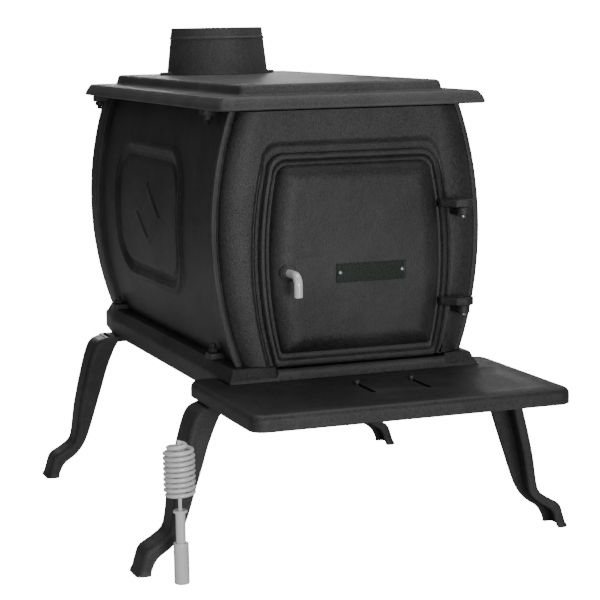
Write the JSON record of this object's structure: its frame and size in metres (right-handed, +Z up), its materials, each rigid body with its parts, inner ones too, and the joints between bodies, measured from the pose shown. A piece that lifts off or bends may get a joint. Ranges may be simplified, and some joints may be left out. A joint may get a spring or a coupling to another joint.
{
  "type": "wood stove",
  "caption": "Cast-iron box wood stove with bowed sides, hinged front door with latch, hearth shelf, rear flue collar, splayed curved legs, draft slide and a loose spring handle.",
  "frame": {"origin": "On the floor, under the middle of the overall box", "axes": "+X to the right seen from the front, -Y towards the door and hearth, +Z up"},
  "size_m": [0.712, 1.018, 0.7946],
  "materials": {
    "cast_iron": "satin near-black paint on fine-grained cast iron",
    "bare_iron": "rough unpainted dark iron",
    "zinc_hardware": "dull zinc plating",
    "chrome_plate": "bright nickel or chrome plating",
    "dark_enamel": "smooth dark enamel on a thin blank plate"
  },
  "bodies": {
    "stove": {"base_plate": "cast_iron", "hearth": "cast_iron", "front_panel": "cast_iron", "back_panel": "cast_iron", "left_side_panel": "cast_iron", "right_side_panel": "cast_iron", "top_plate": "cast_iron", "flue_collar": "cast_iron", "left_collar_bolt": "cast_iron", "right_collar_bolt": "cast_iron", "front_left_top_bolt": "cast_iron", "front_right_top_bolt": "cast_iron", "rear_left_top_bolt": "cast_iron", "rear_right_top_bolt": "cast_iron", "front_left_base_bolt": "cast_iron", "front_right_base_bolt": "cast_iron", "rear_left_base_bolt": "cast_iron", "rear_right_base_bolt": "cast_iron", "front_left_leg": "cast_iron", "front_right_leg": "cast_iron", "rear_left_leg": "cast_iron", "rear_right_leg": "cast_iron", "front_left_leg_bolt": "zinc_hardware", "front_right_leg_bolt": "zinc_hardware", "rear_left_leg_bolt": "zinc_hardware", "rear_right_leg_bolt": "zinc_hardware", "upper_hinge_pin": "zinc_hardware", "lower_hinge_pin": "zinc_hardware", "fire_grate": "bare_iron", "front_slide_strap": "bare_iron", "rear_slide_strap": "bare_iron"},
    "door_leaf": {"door": "cast_iron", "door_plate": "dark_enamel", "left_plate_rivet": "zinc_hardware", "right_plate_rivet": "zinc_hardware", "latch_washer": "zinc_hardware"},
    "latch": {"latch_lever": "chrome_plate", "latch_pawl": "bare_iron", "latch_nut": "zinc_hardware"},
    "draft": {"draft_slide": "bare_iron", "left_draft_knob": "zinc_hardware", "right_draft_knob": "zinc_hardware"},
    "loose_handle": {"handle_coil": "chrome_plate", "handle_rod": "chrome_plate", "handle_washer": "chrome_plate", "handle_socket": "chrome_plate"}
  },
  "joints": [
    {"name": "door_hinge", "type": "hinge", "parent": "stove", "child": "door_leaf", "pos_m": [0.169, -0.296, 0.45], "axis": [0, 0, 1], "range_deg": [0, 120]},
    {"name": "latch_turn", "type": "hinge", "parent": "door_leaf", "child": "latch", "pos_m": [-0.114, -0.29, 0.4373], "axis": [0, 1, 0], "range_deg": [0, 90]},
    {"name": "draft_slide_pull", "type": "slide", "parent": "stove", "child": "draft", "axis": [0, -1, 0], "range_m": [0, 0.05]},
    {"name": "handle_lift", "type": "slide", "parent": "stove", "child": "loose_handle", "axis": [0, 0, 1], "range_m": [0, 0.1]}
  ]
}
